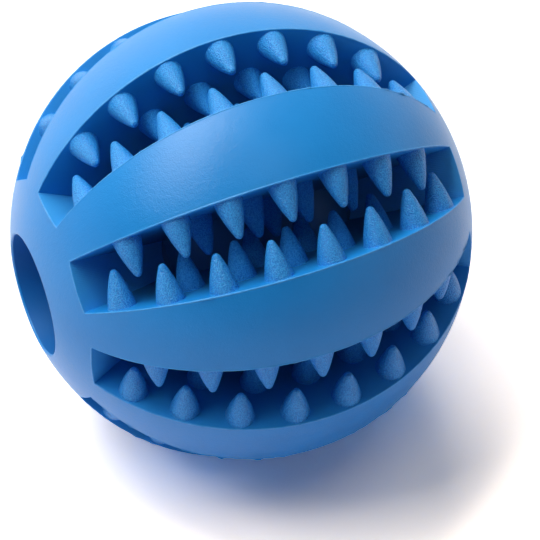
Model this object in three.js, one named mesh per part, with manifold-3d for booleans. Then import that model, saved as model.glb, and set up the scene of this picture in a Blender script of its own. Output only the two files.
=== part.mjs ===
// Rubber dental dog ball: eight toothed ribs that run between two bored pole caps, round a bored core.
// Millimetres, +Z up. The origin is the ball's centre and the two bored poles lie on the X axis.

import * as THREE from "three";
import { mergeVertices } from "three/addons/utils/BufferGeometryUtils.js";
import Module from "manifold-3d";

// Driving dimensions of the ball
const BALL_DIAMETER = 70;
const SLOT_FLOOR_DIAMETER = 34;
const POLE_BORE_DIAMETER = 18.8;
const POLE_CAP_WIDTH = 34.2;
const END_WALL_ANGLE = 26;
const SEAM_GAP = 0.3;

// Driving dimensions of the ribs and the slots between them
const RIB_COUNT = 8;
const SLOT_MOUTH_WIDTH = 13.7;
const SLOT_DRAFT = 9.7;

// Driving dimensions of the cleaning teeth
const TOOTH_LENGTH = 5.7;
const TOOTH_BASE_DIAMETER = 4.4;
const TOOTH_TIP_DIAMETER = 1.9;
const TOOTH_TIP_ROUNDING = 1;
const FIRST_ROW_DEPTH = 2.55;
const ROW_SPACING = 6;
const OUTER_TOOTH_PITCH = 8.25;
const MIDDLE_TOOTH_PITCH = 7.9;
const INNER_TOOTH_PITCH = 8;

// Teeth per row, from the outer row inwards. The two faces of a slot differ by one, so their teeth interlock.
const FULL_FACE_TEETH = [8, 5, 2];
const STAGGERED_FACE_TEETH = [7, 4, 1];

// Facets and overlaps of the tools that cut and join the solids
const SEGMENTS_PER_RIB = 7;
const CORE_SEGMENTS = 32;
const OUTER_ARC_STEPS = 16;
const INNER_ARC_STEPS = 6;
const CAP_ARC_STEPS = 4;
const TOOTH_SIDES = 8;
const TOOTH_ROOT = 1;
const OVERCUT = 5;
const SHELL_REACH = 2;

const ballRadius = BALL_DIAMETER / 2;
const floorRadius = SLOT_FLOOR_DIAMETER / 2;
const boreRadius = POLE_BORE_DIAMETER / 2;
const capHalfWidth = POLE_CAP_WIDTH / 2;
const roundSegments = RIB_COUNT * SEGMENTS_PER_RIB;
const ribPitchAngle = (2 * Math.PI) / RIB_COUNT;
const endWallAngle = THREE.MathUtils.degToRad(END_WALL_ANGLE);
const slotDraft = THREE.MathUtils.degToRad(SLOT_DRAFT);

// Each face of a rib leans by this angle from the rib's middle plane and passes the axis at this distance.
const faceLean = ribPitchAngle / 2 - slotDraft;
const mouthHalfWidth = SLOT_MOUTH_WIDTH / 2;
const mouthHeight = Math.sqrt(ballRadius ** 2 - mouthHalfWidth ** 2);
const faceOffset = mouthHalfWidth * Math.cos(slotDraft) - mouthHeight * Math.sin(slotDraft);

const wasm = await Module();
wasm.setup();

const rubber = new THREE.MeshStandardMaterial({ color: 0x3c90dc, roughness: 0.5, metalness: 0 });

function solidFrom(geometry) {
  const bare = geometry.clone();
  bare.deleteAttribute("normal");
  bare.deleteAttribute("uv");
  const merged = mergeVertices(bare);
  const vertProperties = new Float32Array(merged.attributes.position.array);
  const triVerts = new Uint32Array(merged.index.array);
  return new wasm.Manifold(new wasm.Mesh({ numProp: 3, vertProperties, triVerts }));
}

function geometryFrom(solid) {
  const mesh = solid.getMesh();
  const geometry = new THREE.BufferGeometry();
  geometry.setAttribute("position", new THREE.BufferAttribute(new Float32Array(mesh.vertProperties), 3));
  geometry.setIndex(new THREE.BufferAttribute(new Uint32Array(mesh.triVerts), 1));
  geometry.computeVertexNormals();
  return geometry;
}

// A profile point lies at a distance along the axis and a radius from it.
function profilePoint(along, radius) {
  return new THREE.Vector2(radius, along);
}

// Turns a profile about the X axis, from the +X side or, with a turn of half a circle, from the -X side.
// One facet edge lies in the XZ plane, at the top.
function revolve(profile, segments = roundSegments, turn = 0) {
  const geometry = new THREE.LatheGeometry(profile, segments);
  geometry.rotateZ(turn - Math.PI / 2);
  return solidFrom(geometry);
}

function arc(radius, startAngle, endAngle, steps) {
  const points = [];
  for (let i = 0; i <= steps; i += 1) {
    const angle = startAngle + ((endAngle - startAngle) * i) / steps;
    points.push(profilePoint(radius * Math.sin(angle), radius * Math.cos(angle)));
  }
  return points;
}

// The flat end walls of the slots at a pole, one to a slot, as a pyramid that holds the cap.
// A gap moves every wall off the cap. The pyramid's edges lie in the middle planes of the ribs.
function endPyramid(gap, turn = 0) {
  const apex =
    Math.sqrt(ballRadius ** 2 - capHalfWidth ** 2) -
    capHalfWidth / Math.tan(endWallAngle) -
    gap / Math.sin(endWallAngle);
  const base = ballRadius + OVERCUT;
  const flatRadius = (base - apex) * Math.tan(endWallAngle);
  const edgeRadius = flatRadius / Math.cos(ribPitchAngle / 2);
  const profile = [profilePoint(apex, 0), profilePoint(base, edgeRadius), profilePoint(base, 0)];
  return revolve(profile, RIB_COUNT, turn);
}

// The shell that the ribs are cut from, between the ball surface and the core. It reaches past the end walls.
function ribShell() {
  const end = Math.acos((capHalfWidth - SHELL_REACH) / ballRadius);
  const profile = [
    ...arc(ballRadius, -end, end, OUTER_ARC_STEPS),
    ...arc(floorRadius, end, -end, INNER_ARC_STEPS),
  ];
  profile.push(profile[0].clone());
  return revolve(profile);
}

// The wedge between the leaning faces of two neighbouring slots, about the XZ plane.
function ribWedge() {
  const apexHeight = faceOffset / Math.sin(faceLean);
  const topHeight = ballRadius + OVERCUT;
  const topHalfWidth = (topHeight - apexHeight) * Math.tan(faceLean);
  const outline = new THREE.Shape();
  outline.moveTo(0, apexHeight);
  outline.lineTo(topHalfWidth, topHeight);
  outline.lineTo(-topHalfWidth, topHeight);
  outline.closePath();
  const length = BALL_DIAMETER + 2 * OVERCUT;
  const geometry = new THREE.ExtrudeGeometry(outline, { depth: length, bevelEnabled: false });
  geometry.translate(0, 0, -length / 2);
  const across = new THREE.Vector3(0, 1, 0);
  const upward = new THREE.Vector3(0, 0, 1);
  const along = new THREE.Vector3(1, 0, 0);
  geometry.applyMatrix4(new THREE.Matrix4().makeBasis(across, upward, along));
  return solidFrom(geometry);
}

// A blunt cone along +Y, rooted a little below the face that it stands on.
function toothGeometry() {
  const baseRadius = TOOTH_BASE_DIAMETER / 2;
  const tipRadius = TOOTH_TIP_DIAMETER / 2;
  const shoulder = TOOTH_LENGTH - TOOTH_TIP_ROUNDING;
  const taper = (baseRadius - tipRadius) / shoulder;
  const profile = [
    profilePoint(-TOOTH_ROOT, 0),
    profilePoint(-TOOTH_ROOT, baseRadius + taper * TOOTH_ROOT),
    profilePoint(shoulder, tipRadius),
    profilePoint(TOOTH_LENGTH, 0),
  ];
  return new THREE.LatheGeometry(profile, TOOTH_SIDES);
}

// Rows of teeth on one face of a rib, each row an arc about the ball's centre. Side is +1 or -1 along Y.
function toothRows(side, counts) {
  const along = new THREE.Vector3(1, 0, 0);
  const outOfFace = new THREE.Vector3(0, side * Math.cos(faceLean), -Math.sin(faceLean));
  const upFace = new THREE.Vector3(0, side * Math.sin(faceLean), Math.cos(faceLean));
  const turn = new THREE.Matrix4().makeBasis(along, outOfFace, along.clone().cross(outOfFace));
  const pitches = [OUTER_TOOTH_PITCH, MIDDLE_TOOTH_PITCH, INNER_TOOTH_PITCH];
  const teeth = [];
  counts.forEach((count, row) => {
    const rowRadius = ballRadius - FIRST_ROW_DEPTH - row * ROW_SPACING;
    for (let i = 0; i < count; i += 1) {
      const latitude = ((i - (count - 1) / 2) * pitches[row]) / rowRadius;
      const place = outOfFace.clone().multiplyScalar(-faceOffset);
      place.addScaledVector(along, rowRadius * Math.sin(latitude));
      place.addScaledVector(upFace, rowRadius * Math.cos(latitude));
      const geometry = toothGeometry().applyMatrix4(turn);
      geometry.translate(place.x, place.y, place.z);
      teeth.push(solidFrom(geometry));
    }
  });
  return teeth;
}

function ribGeometry() {
  const teeth = [...toothRows(1, FULL_FACE_TEETH), ...toothRows(-1, STAGGERED_FACE_TEETH)];
  const fullRib = ribShell().intersect(ribWedge());
  const plainRib = fullRib.subtract(endPyramid(SEAM_GAP)).subtract(endPyramid(SEAM_GAP, Math.PI));
  return geometryFrom(teeth.reduce((rib, tooth) => rib.add(tooth), plainRib));
}

// The ring at the +X pole: ball surface outside, bore inside, and a flat wall at the end of each slot.
function capGeometry() {
  const startLatitude = Math.acos((capHalfWidth + SHELL_REACH) / ballRadius);
  const boreLatitude = Math.acos(boreRadius / ballRadius);
  const surface = arc(ballRadius, startLatitude, boreLatitude, CAP_ARC_STEPS);
  const top = profilePoint(surface.at(-1).y + OVERCUT, 0);
  const dome = revolve([profilePoint(0, 0), ...surface, profilePoint(surface.at(-1).y, 0)]);
  const bore = revolve([
    profilePoint(-OVERCUT, 0),
    profilePoint(-OVERCUT, boreRadius),
    profilePoint(top.y, boreRadius),
    top,
  ]);
  const middle = revolve(arc(floorRadius, -Math.PI / 2, Math.PI / 2, 2 * INNER_ARC_STEPS));
  return geometryFrom(dome.intersect(endPyramid(0)).subtract(bore).subtract(middle));
}

// The middle of the ball: a bored sphere, on which the slots end.
function coreGeometry() {
  const radius = floorRadius - SEAM_GAP;
  const boreLatitude = Math.acos(boreRadius / radius);
  const profile = arc(radius, -boreLatitude, boreLatitude, INNER_ARC_STEPS);
  profile.push(profile[0].clone());
  return geometryFrom(revolve(profile, CORE_SEGMENTS));
}

const ball = new THREE.Group();

const ribShape = ribGeometry();
for (let i = 0; i < RIB_COUNT; i += 1) {
  const rib = new THREE.Mesh(ribShape, rubber);
  rib.name = `rib_${i + 1}`;
  rib.rotation.x = (i + 0.5) * ribPitchAngle;
  ball.add(rib);
}

const capShape = capGeometry();
const capTurns = { right_pole_cap: 0, left_pole_cap: Math.PI };
for (const [name, turn] of Object.entries(capTurns)) {
  const cap = new THREE.Mesh(capShape, rubber);
  cap.name = name;
  cap.rotation.set(ribPitchAngle / 2, 0, turn);
  ball.add(cap);
}

const core = new THREE.Mesh(coreGeometry(), rubber);
core.name = "core";
ball.add(core);

export default ball;
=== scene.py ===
"""Looks of a rubber dental dog ball: eight toothed ribs between two bored pole caps, round a bored core."""

import math
import random

import bpy
from mathutils import Matrix, Vector
from mathutils.geometry import delaunay_2d_cdt


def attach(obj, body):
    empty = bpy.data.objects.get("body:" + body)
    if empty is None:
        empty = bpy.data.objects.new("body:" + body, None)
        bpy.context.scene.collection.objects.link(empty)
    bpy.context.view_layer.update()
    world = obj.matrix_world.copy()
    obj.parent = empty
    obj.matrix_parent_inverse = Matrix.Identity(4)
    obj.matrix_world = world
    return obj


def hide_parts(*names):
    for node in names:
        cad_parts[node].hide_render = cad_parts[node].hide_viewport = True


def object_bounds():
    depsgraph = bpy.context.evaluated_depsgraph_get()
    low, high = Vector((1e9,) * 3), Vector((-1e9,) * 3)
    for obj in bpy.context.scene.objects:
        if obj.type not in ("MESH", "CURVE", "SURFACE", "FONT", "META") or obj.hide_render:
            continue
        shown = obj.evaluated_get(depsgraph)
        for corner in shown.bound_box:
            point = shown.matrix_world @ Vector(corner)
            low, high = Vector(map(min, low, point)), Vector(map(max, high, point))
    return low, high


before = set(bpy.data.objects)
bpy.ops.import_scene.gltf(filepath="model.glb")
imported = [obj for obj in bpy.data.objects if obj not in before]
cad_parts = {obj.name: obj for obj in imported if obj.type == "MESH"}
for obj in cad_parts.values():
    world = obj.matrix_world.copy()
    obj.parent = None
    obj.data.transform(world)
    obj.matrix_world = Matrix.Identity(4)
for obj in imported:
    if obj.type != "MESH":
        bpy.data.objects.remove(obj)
cad_low, cad_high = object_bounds()

# Sizes of the ball, as in its solids, in metres
MM = 0.001
BALL_RADIUS = 35 * MM
FLOOR_RADIUS = 17 * MM
BORE_RADIUS = 9.4 * MM
CAP_HALF_WIDTH = 17.1 * MM
END_WALL_ANGLE = math.radians(26)
RIB_COUNT = 8
SLOT_MOUTH_WIDTH = 13.7 * MM
SLOT_DRAFT = math.radians(9.7)
TOOTH_LENGTH = 5.7 * MM
TOOTH_BASE_RADIUS = 2.2 * MM
FIRST_ROW_DEPTH = 2.55 * MM
ROW_SPACING = 6 * MM
TOOTH_PITCHES = (8.25 * MM, 7.9 * MM, 8.0 * MM)
FULL_FACE_TEETH = (8, 5, 2)
STAGGERED_FACE_TEETH = (7, 4, 1)

# Sizes of the moulded detail that the solids leave out
SURFACE_RADIUS = BALL_RADIUS - 0.048 * MM
BEAD_TOP_RADIUS = BALL_RADIUS - 0.03 * MM
BEAD_ROUND = 0.14 * MM
MOUTH_ROUND = 0.3 * MM
TOOTH_FOOT_ROUND = 0.08 * MM
TOOTH_TIP_ROUND = 0.66 * MM
TOOTH_BASE_SLOPE = math.radians(10)
SEAM_OVERLAP = 0.3 * MM
BORE_WEB = 0.12 * MM
MARK_ANGLE = math.radians(24)

# Mesh counts, and places of the rows beside the beads
RIB_STATIONS = 160
RIB_COLUMNS = 16
EDGE_STEPS = 4
FLOOR_STATIONS = 24
TOOTH_SIDES = 28
FOOT_STEPS = 2
FLANK_STEPS = 6
TIP_STEPS = 5
DOME_RINGS = 16
WALL_RINGS = 10
SLOT_COLUMNS = 20
CORE_RINGS = 32
CORE_SIDES = 96
BESIDE_BEAD = 0.98
LAST_DOME_STEP = 0.15
SEAM_BEND_POWER = 8

# Starts, limits and tolerances of what is solved for
FIRST_TIP_SLOPE = math.radians(24)
TIP_SOLVER_STEPS = 30
EDGE_END_LIMITS = (0.5, 1.3)
EDGE_SOLVER_STEPS = 50
FILL_TOLERANCE = 1e-6
FOOT_MARGIN = 1e-3

# Materials of a face, by their order in each piece
SMOOTH, GRAINED, SHADED, MARKED, EDGE_HIGHLIGHT, DEEP, CORED, BORED = range(8)

# Each face of a rib leans from the rib's middle plane and passes the axis at an offset
RIB_PITCH = 2 * math.pi / RIB_COUNT
FACE_LEAN = RIB_PITCH / 2 - SLOT_DRAFT
MOUTH_HALF = SLOT_MOUTH_WIDTH / 2
MOUTH_HEIGHT = math.sqrt(BALL_RADIUS ** 2 - MOUTH_HALF ** 2)
FACE_OFFSET = MOUTH_HALF * math.cos(SLOT_DRAFT) - MOUTH_HEIGHT * math.sin(SLOT_DRAFT)
END_APEX = math.sqrt(BALL_RADIUS ** 2 - CAP_HALF_WIDTH ** 2) - CAP_HALF_WIDTH / math.tan(END_WALL_ANGLE)
ALONG = Vector((1, 0, 0))


class Skin:
    """Collects points and faces, each face with its corner normals and its material."""

    def __init__(self):
        self.points = []
        self.faces = []
        self.normals = []
        self.materials = []
        self.marks = []

    def point(self, place):
        self.points.append(Vector(place))
        return len(self.points) - 1

    def face(self, corners, normals, material=SMOOTH):
        places = [self.points[i] for i in corners]
        facing = (places[2] - places[0]).cross(places[-1] - places[1])
        if facing.dot(sum(normals, Vector())) < 0:
            corners = corners[::-1]
            normals = normals[::-1]
        self.faces.append(tuple(corners))
        self.normals.extend(normals)
        self.materials.append(material)

    def strip(self, row, row_normals, other, other_normals, material=SMOOTH, closed=False):
        """Joins two rows of points, corner by corner."""
        last = len(row) if closed else len(row) - 1
        for i in range(last):
            j = (i + 1) % len(row)
            self.face(
                (row[i], row[j], other[j], other[i]),
                [row_normals[i], row_normals[j], other_normals[j], other_normals[i]],
                material,
            )

    def piece(self, name, turn, materials):
        mesh = bpy.data.meshes.new(name)
        mesh.from_pydata([turn @ p for p in self.points], [], self.faces)
        for polygon, index in zip(mesh.polygons, self.materials):
            polygon.material_index = index
            polygon.use_smooth = True
        mesh.normals_split_custom_set([turn @ n for n in self.normals])
        if self.marks:
            mesh.attributes.new("across_marks", "FLOAT", "POINT").data.foreach_set("value", self.marks)
        for material in materials:
            mesh.materials.append(material)
        obj = bpy.data.objects.new(name, mesh)
        bpy.context.collection.objects.link(obj)
        return obj


def polar(along, radius, azimuth):
    """A point at a distance along the X axis and a radius from it, with azimuth 0 at the top."""
    return Vector((along, radius * math.sin(azimuth), radius * math.cos(azimuth)))


def end_wall_meets(sphere, from_middle, inset=0.0):
    """Where a slot's flat end wall, moved into its cap by an inset, meets a sphere about the centre.

    The angle is about the axis, from the slot's middle.
    Gives the distance along the axis and the radius from it.
    """
    apex = END_APEX + inset / math.sin(END_WALL_ANGLE)
    slope = math.cos(from_middle) / math.tan(END_WALL_ANGLE)
    scale = slope ** 2 + 1
    half = slope * apex
    radius = (math.sqrt(half ** 2 - scale * (apex ** 2 - sphere ** 2)) - half) / scale
    return apex + slope * radius, radius


def tooth_profile():
    """Radius, height and slope of a tooth's rings: a small foot, a bulging flank and a round tip."""
    tip_centre = TOOTH_LENGTH - TOOTH_TIP_ROUND
    low_height = TOOTH_FOOT_ROUND * (1 - math.sin(TOOTH_BASE_SLOPE))
    tip_slope = FIRST_TIP_SLOPE
    for _ in range(TIP_SOLVER_STEPS):
        high_height = tip_centre + TOOTH_TIP_ROUND * math.sin(tip_slope)
        high_radius = TOOTH_TIP_ROUND * math.cos(tip_slope)
        run = (TOOTH_BASE_RADIUS - high_radius) / (high_height - low_height)
        tip_slope = 2 * math.atan(run) - TOOTH_BASE_SLOPE
    rings = []
    foot_radius = TOOTH_BASE_RADIUS + TOOTH_FOOT_ROUND * math.cos(TOOTH_BASE_SLOPE)
    for i in range(FOOT_STEPS + 1):
        slope = math.pi / 2 + (TOOTH_BASE_SLOPE - math.pi / 2) * i / FOOT_STEPS
        radius = foot_radius - TOOTH_FOOT_ROUND * math.cos(slope)
        rings.append((radius, TOOTH_FOOT_ROUND * (1 - math.sin(slope)), slope))
    bend = (TOOTH_BASE_RADIUS - high_radius) / (math.cos(TOOTH_BASE_SLOPE) - math.cos(tip_slope))
    for i in range(1, FLANK_STEPS):
        slope = TOOTH_BASE_SLOPE + (tip_slope - TOOTH_BASE_SLOPE) * i / FLANK_STEPS
        radius = TOOTH_BASE_RADIUS - bend * (math.cos(TOOTH_BASE_SLOPE) - math.cos(slope))
        height = low_height + bend * (math.sin(slope) - math.sin(TOOTH_BASE_SLOPE))
        rings.append((radius, height, slope))
    for i in range(TIP_STEPS):
        slope = tip_slope + (math.pi / 2 - tip_slope) * i / TIP_STEPS
        radius = TOOTH_TIP_ROUND * math.cos(slope)
        rings.append((radius, tip_centre + TOOTH_TIP_ROUND * math.sin(slope), slope))
    return rings


TOOTH_RINGS = tooth_profile()
TOOTH_FOOT_RADIUS = TOOTH_RINGS[0][0]


class RibFace:
    """One leaning face of a rib about the XZ plane. Side is +1 or -1 along Y."""

    def __init__(self, side):
        self.out = Vector((0, side * math.cos(FACE_LEAN), -math.sin(FACE_LEAN)))
        self.up = Vector((0, side * math.sin(FACE_LEAN), math.cos(FACE_LEAN)))
        self.counts = FULL_FACE_TEETH if side > 0 else STAGGERED_FACE_TEETH

    def place(self, along, height, rise=0.0):
        return self.out * (rise - FACE_OFFSET) + ALONG * along + self.up * height

    def tooth_centres(self):
        """The place of each tooth along and up the face, with the material of its row."""
        centres = []
        for row, count in enumerate(self.counts):
            radius = BALL_RADIUS - FIRST_ROW_DEPTH - row * ROW_SPACING
            for i in range(count):
                latitude = (i - (count - 1) / 2) * TOOTH_PITCHES[row] / radius
                # Inner rows of teeth get the grained rubber with more painted shade
                material = SHADED if row else GRAINED
                centres.append((radius * math.sin(latitude), radius * math.cos(latitude), material))
        return centres


def inside(point, loop):
    """Whether a flat point lies inside a closed loop of points."""
    found = False
    for (ax, ay), (bx, by) in zip(loop, loop[1:] + loop[:1]):
        if (ay > point[1]) != (by > point[1]):
            if point[0] < ax + (point[1] - ay) * (bx - ax) / (by - ay):
                found = not found
    return found


def fill_face(skin, rib_face, border, centres):
    """Fills a rib's face between its border and the round feet of its teeth, and adds the teeth."""
    flat = [(p.x / MM, p.dot(rib_face.up) / MM) for p in (skin.points[i] for i in border)]
    indices = list(border)
    coords = list(flat)
    edges = [(i, (i + 1) % len(border)) for i in range(len(border))]
    for along, height, material in centres:
        first = len(coords)
        ring = []
        for i in range(TOOTH_SIDES):
            angle = 2 * math.pi * i / TOOTH_SIDES
            x = along + TOOTH_FOOT_RADIUS * math.cos(angle)
            h = height + TOOTH_FOOT_RADIUS * math.sin(angle)
            ring.append(skin.point(rib_face.place(x, h)))
            coords.append((x / MM, h / MM))
            edges.append((first + i, first + (i + 1) % TOOTH_SIDES))
        indices.extend(ring)
        add_tooth(skin, rib_face, ring, along, height, material)
    result = delaunay_2d_cdt([Vector(c) for c in coords], edges, [], 0, FILL_TOLERANCE, True)
    triangles, sources = result[2], result[3]
    foot = TOOTH_FOOT_RADIUS / MM * math.cos(math.pi / TOOTH_SIDES) - FOOT_MARGIN
    for triangle in triangles:
        corners = [sources[i][0] for i in triangle]
        middle = [sum(coords[i][k] for i in corners) / 3 for k in (0, 1)]
        under_tooth = any(math.dist(middle, (a / MM, h / MM)) < foot for a, h, _ in centres)
        if not under_tooth and inside(middle, flat):
            skin.face([indices[i] for i in corners], [rib_face.out] * 3, DEEP)


def add_tooth(skin, rib_face, foot, along, height, material):
    """Adds the rings of a tooth above its foot, and closes its tip."""
    row = foot
    row_normals = [rib_face.out] * TOOTH_SIDES
    spokes = []
    for i in range(TOOTH_SIDES):
        angle = 2 * math.pi * i / TOOTH_SIDES
        spokes.append(ALONG * math.cos(angle) + rib_face.up * math.sin(angle))
    for radius, rise, slope in TOOTH_RINGS[1:]:
        base = rib_face.place(along, height, rise)
        ring = [skin.point(base + spoke * radius) for spoke in spokes]
        normals = [spoke * math.cos(slope) + rib_face.out * math.sin(slope) for spoke in spokes]
        skin.strip(row, row_normals, ring, normals, material, closed=True)
        row, row_normals = ring, normals
    tip = skin.point(rib_face.place(along, height, TOOTH_LENGTH))
    for i in range(TOOTH_SIDES):
        j = (i + 1) % TOOTH_SIDES
        skin.face((row[i], row[j], tip), [row_normals[i], row_normals[j], rib_face.out], material)


# The bead on a slot's edge: where its round is centred and how far round it the surface starts
BEAD_RADIUS = BEAD_TOP_RADIUS - BEAD_ROUND
BEAD_FOOT_DROP = SURFACE_RADIUS ** 2 - BEAD_RADIUS ** 2 - BEAD_ROUND ** 2
BEAD_FOOT_ANGLE = math.acos(BEAD_FOOT_DROP / (2 * BEAD_ROUND * BEAD_RADIUS))
BEAD_ARC_RADIUS = math.sqrt(BEAD_RADIUS ** 2 - (FACE_OFFSET + BEAD_ROUND) ** 2)
FLOOR_ARC_RADIUS = math.sqrt(FLOOR_RADIUS ** 2 - FACE_OFFSET ** 2)


def bead_ways(wall_way, outward):
    """Directions round the thin bead on a slot's edge, from the wall over its top to the surface."""
    ways = [wall_way.slerp(outward, k / EDGE_STEPS) for k in range(EDGE_STEPS)]
    beyond = (outward * wall_way.dot(outward) - wall_way).normalized()
    for k in range(EDGE_STEPS + 1):
        angle = BEAD_FOOT_ANGLE * k / EDGE_STEPS
        ways.append(outward * math.cos(angle) + beyond * math.sin(angle))
    return ways


def rib_edge(rib_face, latitude, burr=0.0):
    """Points and normals over a rib's edge bead, from its face to its outside. A burr lifts the bead."""
    arm = ALONG * math.sin(latitude) + rib_face.up * math.cos(latitude)
    centre = rib_face.out * -(FACE_OFFSET + BEAD_ROUND) + arm * BEAD_ARC_RADIUS
    ways = bead_ways(rib_face.out, centre.normalized())
    points = []
    for k, way in enumerate(ways):
        lift = burr * math.sin(math.pi * k / (len(ways) - 1))
        points.append(centre + way * (BEAD_ROUND + lift))
    return points, ways


def find_edge_end():
    """The latitude at which a rib's rounded edge meets the seam with the cap."""
    rib_face = RibFace(1)
    slot_way = polar(0, 1, RIB_PITCH / 2)
    low, high = EDGE_END_LIMITS
    for _ in range(EDGE_SOLVER_STEPS):
        middle = (low + high) / 2
        corner = rib_edge(rib_face, middle)[0][-1]
        if corner.x > END_APEX + corner.dot(slot_way) / math.tan(END_WALL_ANGLE):
            high = middle
        else:
            low = middle
    return middle


EDGE_ARC_END = find_edge_end()

# Places across a rib's outside, from 1 at one edge bead to -1 at the other, closest beside the beads
EVEN_ACROSS = [1 - 2 * j / RIB_COLUMNS for j in range(1, RIB_COLUMNS)]
RIB_ACROSS = [BESIDE_BEAD, *EVEN_ACROSS, -BESIDE_BEAD]


def rib_row(faces, share, burrs=(0.0, 0.0)):
    """Points and normals across a rib's outside, face to face. The share runs from -1 to 1 along it."""
    first, first_normals = rib_edge(faces[0], EDGE_ARC_END * share, burrs[0])
    last, last_normals = rib_edge(faces[1], EDGE_ARC_END * share, burrs[1])
    foot = rib_edge(faces[0], EDGE_ARC_END * share)[0][-1]
    side = math.atan2(foot.y, foot.z)
    end = rib_edge(faces[0], EDGE_ARC_END)[0][-1]
    end_side = math.atan2(end.y, end.z)
    middle = []
    for across in RIB_ACROSS:
        seam, _ = end_wall_meets(SURFACE_RADIUS, RIB_PITCH / 2 - abs(across) * end_side)
        along = foot.x + math.copysign(share ** SEAM_BEND_POWER, share) * (seam - end.x)
        middle.append(polar(along, math.sqrt(SURFACE_RADIUS ** 2 - along ** 2), across * side))
    points = first + middle + last[::-1]
    normals = first_normals + [p.normalized() for p in middle] + last_normals[::-1]
    return points, normals


def arc_row(corner, count):
    """Points across a rib at one distance from the axis, as many as in an outside row."""
    azimuth = math.atan2(corner.y, corner.z)
    radius = math.hypot(corner.y, corner.z)
    return [polar(corner.x, radius, azimuth * (1 - 2 * j / (count - 1))) for j in range(count)]


# Edges with more moulding burrs than the others, by rib number and side
BURR_COUNTS = {(1, 1): 9, (2, -1): 6, (3, -1): 26, (8, -1): 5}
USUAL_BURRS = 3
BURR_SEED = 8

# Heights of the burrs in millimetres, the shares of a nick's height beside it, and where burrs stay away
WAVER_HEIGHT = 0.04
NICK_HEIGHTS = (0.04, 0.17)
SHARES_BEFORE = (0.1, 0.6)
SHARES_AFTER = (0.1, 0.8)
NICK_MARGIN = 4
BURR_FADE = 0.025


def edge_burrs(rng, count):
    """Heights of the moulding burrs at each station of a rib's edge: a faint waver and a few nicks."""
    heights = [rng.uniform(0, WAVER_HEIGHT) * MM for _ in range(RIB_STATIONS + 1)]
    for _ in range(count):
        place = rng.randint(NICK_MARGIN, RIB_STATIONS - NICK_MARGIN)
        height = rng.uniform(*NICK_HEIGHTS) * MM
        before = rng.uniform(*SHARES_BEFORE)
        after = rng.uniform(*SHARES_AFTER)
        for step, share in ((-1, before), (0, 1.0), (1, after)):
            heights[place + step] += height * share
    heights[0] = heights[-1] = 0.0
    # The middle of an edge touches the ball's bounding box, so the burrs fade out there
    shares = [2 * i / RIB_STATIONS - 1 for i in range(RIB_STATIONS + 1)]
    return [height * min(1.0, share ** 2 / BURR_FADE) for height, share in zip(heights, shares)]


def rib_skin(number, rng):
    """A rib about the XZ plane: its outside, its underside, its hidden ends and its two toothed faces."""
    skin = Skin()
    faces = RibFace(1), RibFace(-1)
    counts = [BURR_COUNTS.get((number, side), USUAL_BURRS) for side in (1, -1)]
    burrs = list(zip(*(edge_burrs(rng, count) for count in counts)))
    outside = []
    for i in range(RIB_STATIONS + 1):
        points, normals = rib_row(faces, 2 * i / RIB_STATIONS - 1, burrs[i])
        outside.append(([skin.point(p) for p in points], normals))
    bead = slice(0, 2 * EDGE_STEPS + 1)
    other_bead = slice(-2 * EDGE_STEPS - 1, None)
    between = slice(2 * EDGE_STEPS, -2 * EDGE_STEPS)
    # The beads along both edges take the rubber painted paler as a highlight
    for (row, normals), (other, other_normals) in zip(outside, outside[1:]):
        for part, material in ((bead, EDGE_HIGHLIGHT), (between, SMOOTH), (other_bead, EDGE_HIGHLIGHT)):
            skin.strip(row[part], normals[part], other[part], other_normals[part], material)

    # The ends run a little way into the caps, where they are hidden
    count = len(outside[0][0])
    lean = math.cos(SLOT_DRAFT) / math.tan(END_WALL_ANGLE)
    start = END_APEX + SEAM_OVERLAP / math.sin(END_WALL_ANGLE)
    start -= FACE_OFFSET * math.sin(SLOT_DRAFT) / math.tan(END_WALL_ANGLE)
    scale = lean ** 2 + 1
    root = math.sqrt((start * lean) ** 2 - scale * (start ** 2 - FLOOR_ARC_RADIUS ** 2)) - start * lean
    hollow_end = math.acos(root / scale / FLOOR_ARC_RADIUS)
    shoulder = skin.points[outside[0][0][0]].dot(faces[0].up) - 2 * SEAM_OVERLAP

    hollow = []
    least_height = math.sqrt((BORE_RADIUS + BORE_WEB) ** 2 - FACE_OFFSET ** 2)
    for i in range(FLOOR_STATIONS + 1):
        angle = hollow_end * (2 * i / FLOOR_STATIONS - 1)
        height = max(FLOOR_ARC_RADIUS * math.cos(angle), least_height)
        corner = faces[0].place(FLOOR_ARC_RADIUS * math.sin(angle), height)
        points = arc_row(corner, count)
        hollow.append(([skin.point(p) for p in points], [-p.normalized() for p in points]))
    for (row, normals), (other, other_normals) in zip(hollow, hollow[1:]):
        skin.strip(row, normals, other, other_normals)

    shoulders = []
    for end, sign in ((0, -1), (-1, 1)):
        corner = faces[0].place(sign * (start + lean * shoulder), shoulder)
        row = [skin.point(p) for p in arc_row(corner, count)]
        shoulders.append(row)
        normals = [ALONG * sign] * count
        skin.strip(outside[end][0], normals, row, normals)
        skin.strip(row, normals, hollow[end][0], normals)

    for rib_face, column in zip(faces, (0, -1)):
        border = [row[column] for row, _ in outside]
        border.append(shoulders[1][column])
        border.extend(row[column] for row, _ in reversed(hollow))
        border.append(shoulders[0][column])
        fill_face(skin, rib_face, border, rib_face.tooth_centres())
    return skin


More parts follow.
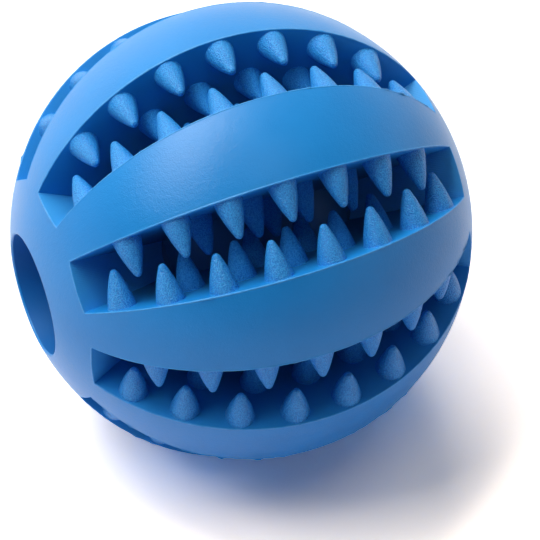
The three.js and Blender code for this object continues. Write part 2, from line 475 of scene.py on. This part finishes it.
def cap_columns():
    """Azimuth, the azimuth of the nearest slot's middle, and 0 at a rib to 1 along a slot's end."""
    corner = rib_edge(RibFace(1), EDGE_ARC_END)[0][-1]
    half = math.atan2(corner.y, corner.z)
    opening = RIB_PITCH - 2 * half
    columns = []
    for rib in range(RIB_COUNT):
        middle = rib * RIB_PITCH
        for across in (-1, *reversed(RIB_ACROSS)):
            offset = half * across
            columns.append((middle + offset, middle + math.copysign(RIB_PITCH / 2, offset), 0.0))
        for j in range(SLOT_COLUMNS):
            share = (1 - math.cos(math.pi * j / SLOT_COLUMNS)) / 2
            inset = min(share, 1 - share) * opening * CAP_HALF_WIDTH
            opened = min(1.0, inset / (2 * BEAD_ROUND))
            columns.append((middle + half + share * opening, middle + RIB_PITCH / 2, opened))
    return columns


def cap_column(azimuth, slot, opened):
    """Points down a cap, from the bore over the dome to the slot's root, with normals before and after."""
    line = []

    def add(place, before, after=None):
        line.append((place, before, after or before))

    def turned(along, radius):
        return polar(along, radius, azimuth)

    # The end wall stops a little outside the bore, and a thin web closes the rest
    to_axis = turned(0, -1)
    inner_along = math.sqrt(FLOOR_RADIUS ** 2 - BORE_RADIUS ** 2)
    root_radius = max(end_wall_meets(FLOOR_RADIUS, azimuth - slot)[1], BORE_RADIUS + BORE_WEB)
    root_along = END_APEX + math.cos(azimuth - slot) / math.tan(END_WALL_ANGLE) * root_radius
    root = turned(root_along, root_radius)
    web_way = turned(BORE_RADIUS - root_radius, root_along - inner_along).normalized()
    add(turned(inner_along, BORE_RADIUS), web_way, to_axis)
    mouth_radius = BORE_RADIUS + MOUTH_ROUND
    mouth_along = math.sqrt((SURFACE_RADIUS - MOUTH_ROUND) ** 2 - mouth_radius ** 2)
    mouth = turned(mouth_along, mouth_radius)
    for k in range(EDGE_STEPS + 1):
        way = to_axis.slerp(mouth.normalized(), k / EDGE_STEPS)
        add(mouth + way * MOUTH_ROUND, way)

    rim = turned(*end_wall_meets(SURFACE_RADIUS, azimuth - slot))
    centre = turned(*end_wall_meets(BEAD_RADIUS, azimuth - slot, BEAD_ROUND))
    wall_way = ALONG * -math.sin(END_WALL_ANGLE) + polar(0, math.cos(END_WALL_ANGLE), slot)
    bead = []
    for k, way in enumerate(reversed(bead_ways(wall_way, centre.normalized()))):
        plain = rim + (root - rim).normalized() * (BEAD_ROUND * k / EDGE_STEPS)
        bead.append((plain.lerp(centre + way * BEAD_ROUND, opened), rim.normalized().lerp(way, opened)))

    start = math.atan2(mouth_radius, mouth_along)
    edge = bead[0][0]
    end = math.atan2(math.hypot(edge.y, edge.z), edge.x)
    for q in [*range(1, DOME_RINGS), DOME_RINGS - LAST_DOME_STEP]:
        angle = start + (end - start) * q / DOME_RINGS
        place = turned(SURFACE_RADIUS * math.cos(angle), SURFACE_RADIUS * math.sin(angle))
        add(place, place.normalized())
    for place, way in bead:
        add(place, way)
    base = bead[-1][0]
    for q in range(1, WALL_RINGS + 1):
        add(base.lerp(root, q / WALL_RINGS), wall_way, web_way if q == WALL_RINGS else None)
    return line


def cap_skin():
    """The cap at the +X pole: its bore, dome, beads and end walls, and the webs at the walls' roots."""
    skin = Skin()
    columns = cap_columns()
    lines = [cap_column(*column) for column in columns]
    rings = []
    for index in range(len(lines[0])):
        places, before, after = zip(*(line[index] for line in lines))
        rings.append(([skin.point(p) for p in places], list(before), list(after)))
    wall_start = len(rings) - WALL_RINGS - 1
    bead_start = wall_start - 2 * EDGE_STEPS
    materials = [BORED]
    materials += [SMOOTH] * (bead_start - 1)
    materials += [EDGE_HIGHLIGHT] * (wall_start - bead_start)
    materials += [MARKED] * WALL_RINGS
    for (row, _, normals), (other, other_normals, _), material in zip(rings, rings[1:], materials):
        skin.strip(row, normals, other, other_normals, material, closed=True)
    last, first = rings[-1], rings[0]
    skin.strip(last[0], last[2], first[0], first[1], DEEP, closed=True)

    # Distance across the tool marks of each end wall, in millimetres, for its material
    places = []
    for row, _, _ in rings:
        for index, (_, slot, _) in zip(row, columns):
            inward = ALONG * -math.cos(END_WALL_ANGLE) - polar(0, math.sin(END_WALL_ANGLE), slot)
            sideways = Vector((0, math.cos(slot), -math.sin(slot)))
            across = sideways * math.cos(MARK_ANGLE) - inward * math.sin(MARK_ANGLE)
            places.append((index, skin.points[index].dot(across) / MM))
    skin.marks = [value for _, value in sorted(places)]
    return skin


def core_skin():
    """The bored sphere in the ball's middle, whose surface is the floor of every slot."""
    skin = Skin()
    end = math.acos(BORE_RADIUS / FLOOR_RADIUS)
    rings = []
    for i in range(CORE_RINGS + 1):
        latitude = end * (2 * i / CORE_RINGS - 1)
        along = FLOOR_RADIUS * math.sin(latitude)
        radius = FLOOR_RADIUS * math.cos(latitude)
        places = [polar(along, radius, 2 * math.pi * j / CORE_SIDES) for j in range(CORE_SIDES)]
        rings.append(([skin.point(p) for p in places], [p.normalized() for p in places]))
    for (row, normals), (other, other_normals) in zip(rings, rings[1:]):
        skin.strip(row, normals, other, other_normals, CORED, closed=True)
    to_axis = [polar(0, -1, 2 * math.pi * j / CORE_SIDES) for j in range(CORE_SIDES)]
    skin.strip(rings[-1][0], to_axis, rings[0][0], to_axis, BORED, closed=True)
    return skin


def node_tree(name):
    material = bpy.data.materials.new(name)
    material.use_nodes = True
    tree = material.node_tree
    return material, tree, tree.nodes["Principled BSDF"]


def add_node(tree, kind, **inputs):
    node = tree.nodes.new(kind)
    for key, value in inputs.items():
        node.inputs[key.replace("_", " ")].default_value = value
    return node


def noise(tree, scale, detail=2.0):
    place = tree.nodes.new("ShaderNodeTexCoord")
    node = add_node(tree, "ShaderNodeTexNoise", Scale=scale, Detail=detail)
    tree.links.new(place.outputs["Object"], node.inputs["Vector"])
    return node.outputs["Fac"]


def ramp(tree, source, low, high, stops):
    node = tree.nodes.new("ShaderNodeValToRGB")
    tree.links.new(source, node.inputs["Fac"])
    node.color_ramp.elements[0].position = low
    node.color_ramp.elements[1].position = high
    for element, colour in zip(node.color_ramp.elements, stops):
        element.color = (*colour, 1)
    return node.outputs["Color"]


def fade(tree, source, first, last, low, high):
    """Runs from low to high while its source runs from first to last."""
    node = add_node(tree, "ShaderNodeMapRange", From_Min=first, From_Max=last, To_Min=low, To_Max=high)
    tree.links.new(source, node.inputs["Value"])
    return node.outputs["Result"]


def bump(tree, shader, height, depth, under=None):
    """Bumps a shader's surface by a height, over another bump where one is given."""
    node = add_node(tree, "ShaderNodeBump", Strength=1.0, Distance=depth)
    tree.links.new(height, node.inputs["Height"])
    if under:
        tree.links.new(under, node.inputs["Normal"])
    tree.links.new(node.outputs["Normal"], shader.inputs["Normal"])
    return node.outputs["Normal"]


def mix_colours(tree, share, first, second):
    """Mixes two colours, each of which may be another node's output."""
    node = tree.nodes.new("ShaderNodeMix")
    node.data_type = "RGBA"
    tree.links.new(share, node.inputs["Factor"])
    sockets = [socket for socket in node.inputs if socket.type == "RGBA"]
    for socket, colour in zip(sockets, (first, second)):
        if isinstance(colour, bpy.types.NodeSocket):
            tree.links.new(colour, socket)
        else:
            socket.default_value = colour
    return next(socket for socket in node.outputs if socket.type == "RGBA")


# Colours of the rubber, each between a dark and a light one, and the painted shade that it darkens to
RUBBER_DARK = (0.006, 0.293, 0.78)
RUBBER_LIGHT = (0.009, 0.323, 0.84)
# The core's and the bore's colours are darker than the outside's: painted shade in these hollows
CORE_DARK = (0.016, 0.17, 0.42)
CORE_LIGHT = (0.02, 0.19, 0.46)
BORE_DARK = (0.005, 0.17, 0.54)
BORE_LIGHT = (0.007, 0.19, 0.58)
# Painted shade that the slots' walls and the teeth darken to towards the middle
PAINTED_DEPTH_SHADE = (0.01, 0.14, 0.34, 1)
SHADE_BLUE = (0.008, 0.12, 0.42, 1)
GRAIN_DARK = (0.012, 0.26, 0.8)
GRAIN_LIGHT = (0.05, 0.46, 1.0)
# Painted highlight on the edge beads: paler than the rubber
EDGE_HIGHLIGHT_DARK = (0.03, 0.37, 0.88)
EDGE_HIGHLIGHT_LIGHT = (0.08, 0.45, 0.95)
# Painted light on the end walls: lighter than the rubber
CUT_DARK = (0.03, 0.4, 0.91)
CUT_LIGHT = (0.04, 0.43, 0.94)

# Distances from the ball's centre between which the painted shade in the slots deepens
DEEP_RADIUS = 26 * MM
SHALLOW_RADIUS = 34.5 * MM

# Spacing of the cutter marks on the end walls, in millimetres
MARK_SPACING = 0.33

# Scales of the noises and depths of the bumps
DRIFT_SCALE = 90
SHEEN_SCALE = 180
EDGE_HIGHLIGHT_SCALE = 700
PEEL_SCALE = 1500
FINE_PEEL_SCALE = 5000
GRAIN_SCALE = 5200
DULL_PEEL_DEPTH = 0.02 * MM
PEEL_DEPTH = 0.03 * MM
MARK_DEPTH = 0.008 * MM
GRAIN_DEPTH = 0.18 * MM


def painted_depth_shade(tree, colour, most, deepest=PAINTED_DEPTH_SHADE):
    """Paints shade into a colour towards the ball's middle, where the slots are deepest."""
    place = tree.nodes.new("ShaderNodeTexCoord")
    length = tree.nodes.new("ShaderNodeVectorMath")
    length.operation = "LENGTH"
    tree.links.new(place.outputs["Object"], length.inputs[0])
    share = fade(tree, length.outputs["Value"], DEEP_RADIUS, SHALLOW_RADIUS, most, 0.0)
    return mix_colours(tree, share, colour, deepest)


def drifting(tree, dark, light):
    """A colour that drifts slightly over the rubber."""
    return ramp(tree, noise(tree, DRIFT_SCALE, 3), 0.3, 0.7, (dark, light))


def peel(tree, shader, depth):
    """A faint orange peel in the rubber's surface."""
    return bump(tree, shader, noise(tree, PEEL_SCALE, 3), depth)


def shaded_wall_rubber():
    """Rubber on the slots' walls and the webs at their roots, darkened by painted shade the deeper it lies.
    """
    material, tree, shader = node_tree("shaded_wall_rubber")
    colour = drifting(tree, RUBBER_DARK, RUBBER_LIGHT)
    tree.links.new(painted_depth_shade(tree, colour, most=0.95), shader.inputs["Base Color"])
    shader.inputs["Roughness"].default_value = 0.5
    peel(tree, shader, DULL_PEEL_DEPTH)
    return material


def hollow_shade_rubber(name, dark, light):
    """Rubber in the bore and on the core, duller than the outside and darker: painted shade in the hollows.
    """
    material, tree, shader = node_tree(name)
    tree.links.new(drifting(tree, dark, light), shader.inputs["Base Color"])
    shader.inputs["Roughness"].default_value = 0.55
    peel(tree, shader, DULL_PEEL_DEPTH)
    return material


def smooth_rubber():
    """Satin moulded rubber: slight colour drift, patchy sheen and a faint orange peel."""
    material, tree, shader = node_tree("smooth_rubber")
    tree.links.new(drifting(tree, RUBBER_DARK, RUBBER_LIGHT), shader.inputs["Base Color"])
    roughness = fade(tree, noise(tree, SHEEN_SCALE, 4), 0.0, 1.0, 0.25, 0.39)
    tree.links.new(roughness, shader.inputs["Roughness"])
    under = peel(tree, shader, PEEL_DEPTH)
    bump(tree, shader, noise(tree, FINE_PEEL_SCALE, 1), PEEL_DEPTH, under=under)
    return material


def grained_rubber(name, most, roughness, specular):
    """Rubber from a spark-eroded mould: a fine grain, on teeth with painted shade that darkens them towards
    the ball's middle.
    """
    material, tree, shader = node_tree(name)
    grain = noise(tree, GRAIN_SCALE, 1)
    colour = ramp(tree, grain, 0.38, 0.62, (GRAIN_DARK, GRAIN_LIGHT))
    tree.links.new(painted_depth_shade(tree, colour, most, SHADE_BLUE), shader.inputs["Base Color"])
    shader.inputs["Roughness"].default_value = roughness
    shader.inputs["Specular IOR Level"].default_value = specular
    bump(tree, shader, grain, GRAIN_DEPTH)
    return material


def edge_highlight_rubber():
    """Rubber on the thin edge beads, painted paler than the rest in patches: a painted highlight along the
    edges.
    """
    material, tree, shader = node_tree("edge_highlight_rubber")
    colour = ramp(tree, noise(tree, EDGE_HIGHLIGHT_SCALE, 3), 0.35, 0.65, (EDGE_HIGHLIGHT_DARK, EDGE_HIGHLIGHT_LIGHT))
    tree.links.new(colour, shader.inputs["Base Color"])
    shader.inputs["Roughness"].default_value = 0.42
    return material


def marked_rubber():
    """Rubber on a slot's end wall: fine parallel marks of the mould's cutter, in a colour painted lighter
    as painted light, and darker inward as painted shade.
    """
    material, tree, shader = node_tree("marked_rubber")
    colour = drifting(tree, CUT_DARK, CUT_LIGHT)
    tree.links.new(painted_depth_shade(tree, colour, most=0.2), shader.inputs["Base Color"])
    shader.inputs["Roughness"].default_value = 0.6
    shader.inputs["Specular IOR Level"].default_value = 0.8
    place = tree.nodes.new("ShaderNodeAttribute")
    place.attribute_name = "across_marks"
    turns = tree.nodes.new("ShaderNodeMath")
    turns.operation = "MULTIPLY"
    turns.inputs[1].default_value = 2 * math.pi / MARK_SPACING
    tree.links.new(place.outputs["Fac"], turns.inputs[0])
    wave = tree.nodes.new("ShaderNodeMath")
    wave.operation = "SINE"
    tree.links.new(turns.outputs[0], wave.inputs[0])
    under = peel(tree, shader, DULL_PEEL_DEPTH)
    bump(tree, shader, wave.outputs[0], MARK_DEPTH, under=under)
    return material


def dress_node(piece, node):
    """Puts a piece on the ball's one body, in place of a node's solid."""
    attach(piece, "root")
    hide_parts(node)


def dress():
    materials = [
        smooth_rubber(),
        grained_rubber("grained_rubber", most=0.3, roughness=0.34, specular=0.46),
        # The inner rows' teeth: the same grain with more painted shade and less sheen
        grained_rubber("shaded_rubber", most=0.5, roughness=0.5, specular=0.1),
        marked_rubber(),
        edge_highlight_rubber(),
        shaded_wall_rubber(),
        hollow_shade_rubber("cored_rubber", CORE_DARK, CORE_LIGHT),
        hollow_shade_rubber("bored_rubber", BORE_DARK, BORE_LIGHT),
    ]
    rng = random.Random(BURR_SEED)
    for i in range(RIB_COUNT):
        turn = Matrix.Rotation((i + 0.5) * RIB_PITCH, 3, "X")
        piece = rib_skin(i + 1, rng).piece(f"toothed_rib_{i + 1}", turn, materials)
        dress_node(piece, f"rib_{i + 1}")
    cap = cap_skin()
    half_turn = Matrix.Rotation(math.pi, 3, "Z")
    phase = Matrix.Rotation(RIB_PITCH / 2, 3, "X")
    for name, turn in (("right", phase), ("left", phase @ half_turn)):
        piece = cap.piece(f"{name}_cap", turn, materials)
        dress_node(piece, f"{name}_pole_cap")
    core = core_skin().piece("bored_core", Matrix.Identity(3), materials)
    dress_node(core, "core")


# The photograph's camera: its frame in pixels, and where the ball's centre lies in it
IMAGE_SIZE = 540
SENSOR_WIDTH = 36
FOCAL_PIXELS = 5000
BALL_PIXELS = 231.23
CENTRE_PIXEL = (241.35, 231.29)
AZIMUTH = math.radians(-20.35)
ELEVATION = math.radians(46.68)
ROLL = math.radians(-1.99)


def add_camera():
    camera = bpy.data.objects.new("camera", bpy.data.cameras.new("camera"))
    bpy.context.collection.objects.link(camera)
    camera.data.sensor_width = SENSOR_WIDTH
    camera.data.lens = SENSOR_WIDTH * FOCAL_PIXELS / IMAGE_SIZE
    back = Vector((
        math.sin(AZIMUTH) * math.cos(ELEVATION),
        -math.cos(AZIMUTH) * math.cos(ELEVATION),
        math.sin(ELEVATION),
    ))
    level = Vector((math.cos(AZIMUTH), math.sin(AZIMUTH), 0))
    right = level * math.cos(ROLL) + back.cross(level) * math.sin(ROLL)
    up = back.cross(right)
    pixel = BALL_RADIUS / BALL_PIXELS
    place = back * (FOCAL_PIXELS * pixel)
    place += right * ((IMAGE_SIZE / 2 - CENTRE_PIXEL[0]) * pixel)
    place -= up * ((IMAGE_SIZE / 2 - CENTRE_PIXEL[1]) * pixel)
    camera.matrix_world = Matrix((right, up, back)).transposed().to_4x4()
    camera.matrix_world.translation = place
    bpy.context.scene.camera = camera


# The floor's colour for its light, in reflections, and as the camera sees it, far off and round the shadow,
# where it is painted lighter and warmer: painted light that lifts the shadow
FLOOR_LIT = (0.83, 0.82, 1.0, 1)
FLOOR_REFLECTED = (1.3, 1.3, 1.3, 1)
FLOOR_SEEN = (1.25, 1.25, 1.25, 1)
SHADOW_SEEN = (3.35, 2.95, 2.55, 1)
SHADOW_CENTRE = (0.01, -0.024)
SHADOW_NEAR = 20 * MM
SHADOW_FAR = 66 * MM
FLOOR_REACH = 3.0

# Distances from the shadow between which the floor turns white to the camera
GLOW_NEAR = 0.08
GLOW_FAR = 0.3

# The world's strength as light on the object and as the camera sees it
AMBIENT_STRENGTH = 0.06
SEEN_STRENGTH = 1.0

# The studio in reflections: bright at the horizon, less so above it, and dim towards one side
HORIZON_STRENGTH = 1.5
OVERHEAD_STRENGTH = 0.7
OVERHEAD_FROM = 0.45
DIM_SIDE = (-0.24, -0.64, 0.73)
DIM_BAND = (0.2, 0.85)
DIM_SHARE = 0.2

# Each lamp's azimuth and elevation in degrees, its size in metres and its power in watts
LAMPS = {
    "key": (124, 67, 0.5, 5.0),
    "back": (75, 50, 0.45, 2.6),
    "left": (174, 58, 0.45, 2.6),
    "low_back": (112, 12, 1.0, 1.6),
    "front": (297, 72, 0.45, 0.62),
}


def any_ray(tree, *names):
    """1 for rays of the named kinds and 0 for all others."""
    path = tree.nodes.new("ShaderNodeLightPath")
    found = path.outputs[names[0]]
    for name in names[1:]:
        either = tree.nodes.new("ShaderNodeMath")
        either.operation = "MAXIMUM"
        tree.links.new(found, either.inputs[0])
        tree.links.new(path.outputs[name], either.inputs[1])
        found = either.outputs[0]
    return found


def add_floor():
    mesh = bpy.data.meshes.new("floor")
    level = cad_low[2]
    signs = ((-1, -1), (1, -1), (1, 1), (-1, 1))
    corners = [(x * FLOOR_REACH, y * FLOOR_REACH, level) for x, y in signs]
    mesh.from_pydata(corners, [], [(0, 1, 2, 3)])
    floor = bpy.data.objects.new("floor", mesh)
    bpy.context.collection.objects.link(floor)
    material, tree, shader = node_tree("white_floor")
    reflected = any_ray(tree, "Is Glossy Ray", "Is Transmission Ray")
    colour = mix_colours(tree, reflected, FLOOR_LIT, FLOOR_REFLECTED)
    place = tree.nodes.new("ShaderNodeTexCoord")
    distance = tree.nodes.new("ShaderNodeVectorMath")
    distance.operation = "DISTANCE"
    distance.inputs[1].default_value = (*SHADOW_CENTRE, level)
    tree.links.new(place.outputs["Object"], distance.inputs[0])
    # Round the shadow the camera sees the floor lighter and warmer: painted light in the shadow
    away = fade(tree, distance.outputs["Value"], SHADOW_NEAR, SHADOW_FAR, 0.0, 1.0)
    seen = mix_colours(tree, away, SHADOW_SEEN, FLOOR_SEEN)
    colour = mix_colours(tree, any_ray(tree, "Is Camera Ray"), colour, seen)
    tree.links.new(colour, shader.inputs["Base Color"])
    shader.inputs["Roughness"].default_value = 0.9
    shader.inputs["Specular IOR Level"].default_value = 0.0
    # Far from the ball, where the lamps give out, the floor is white to the camera
    glow = tree.nodes.new("ShaderNodeMath")
    glow.operation = "MULTIPLY"
    tree.links.new(any_ray(tree, "Is Camera Ray"), glow.inputs[0])
    tree.links.new(fade(tree, distance.outputs["Value"], GLOW_NEAR, GLOW_FAR, 0.0, 1.0), glow.inputs[1])
    shader.inputs["Emission Color"].default_value = (1, 1, 1, 1)
    tree.links.new(glow.outputs[0], shader.inputs["Emission Strength"])
    mesh.materials.append(material)


def add_area(name, azimuth, elevation, size, power):
    """A square lamp a metre from the ball's centre. The azimuth runs from +X towards +Y, in degrees."""
    light = bpy.data.objects.new(name, bpy.data.lights.new(name, "AREA"))
    bpy.context.collection.objects.link(light)
    light.data.size = size
    light.data.energy = power
    turn = math.radians(azimuth)
    rise = math.radians(elevation)
    place = Vector((math.cos(rise) * math.cos(turn), math.cos(rise) * math.sin(turn), math.sin(rise)))
    light.location = place
    light.rotation_euler = (-place).to_track_quat("-Z", "Y").to_euler()


def along_way(tree, way, direction):
    """How far a way points along a direction."""
    node = tree.nodes.new("ShaderNodeVectorMath")
    node.operation = "DOT_PRODUCT"
    node.inputs[1].default_value = direction
    tree.links.new(way, node.inputs[0])
    return node.outputs["Value"]


def add_lights():
    for name, lamp in LAMPS.items():
        add_area(name, *lamp)
    world = bpy.data.worlds.new("studio")
    bpy.context.scene.world = world
    world.use_nodes = True
    tree = world.node_tree
    background = tree.nodes["Background"]
    background.inputs["Color"].default_value = (1, 1, 1, 1)
    way = tree.nodes.new("ShaderNodeTexCoord").outputs["Generated"]
    height = along_way(tree, way, (0, 0, 1))
    upward = fade(tree, height, 0.0, OVERHEAD_FROM, HORIZON_STRENGTH, OVERHEAD_STRENGTH)
    dimmed = fade(tree, along_way(tree, way, DIM_SIDE), *DIM_BAND, 1.0, DIM_SHARE)
    studio = tree.nodes.new("ShaderNodeMath")
    studio.operation = "MULTIPLY"
    tree.links.new(upward, studio.inputs[0])
    tree.links.new(dimmed, studio.inputs[1])
    reflected = add_node(tree, "ShaderNodeMapRange", To_Min=AMBIENT_STRENGTH)
    tree.links.new(any_ray(tree, "Is Glossy Ray", "Is Transmission Ray"), reflected.inputs["Value"])
    tree.links.new(studio.outputs[0], reflected.inputs["To Max"])
    strength = add_node(tree, "ShaderNodeMapRange", To_Max=SEEN_STRENGTH)
    tree.links.new(any_ray(tree, "Is Camera Ray"), strength.inputs["Value"])
    tree.links.new(reflected.outputs["Result"], strength.inputs["To Min"])
    tree.links.new(strength.outputs["Result"], background.inputs["Strength"])


bpy.context.scene.view_settings.view_transform = "Standard"
add_camera()
add_floor()
add_lights()
dress()
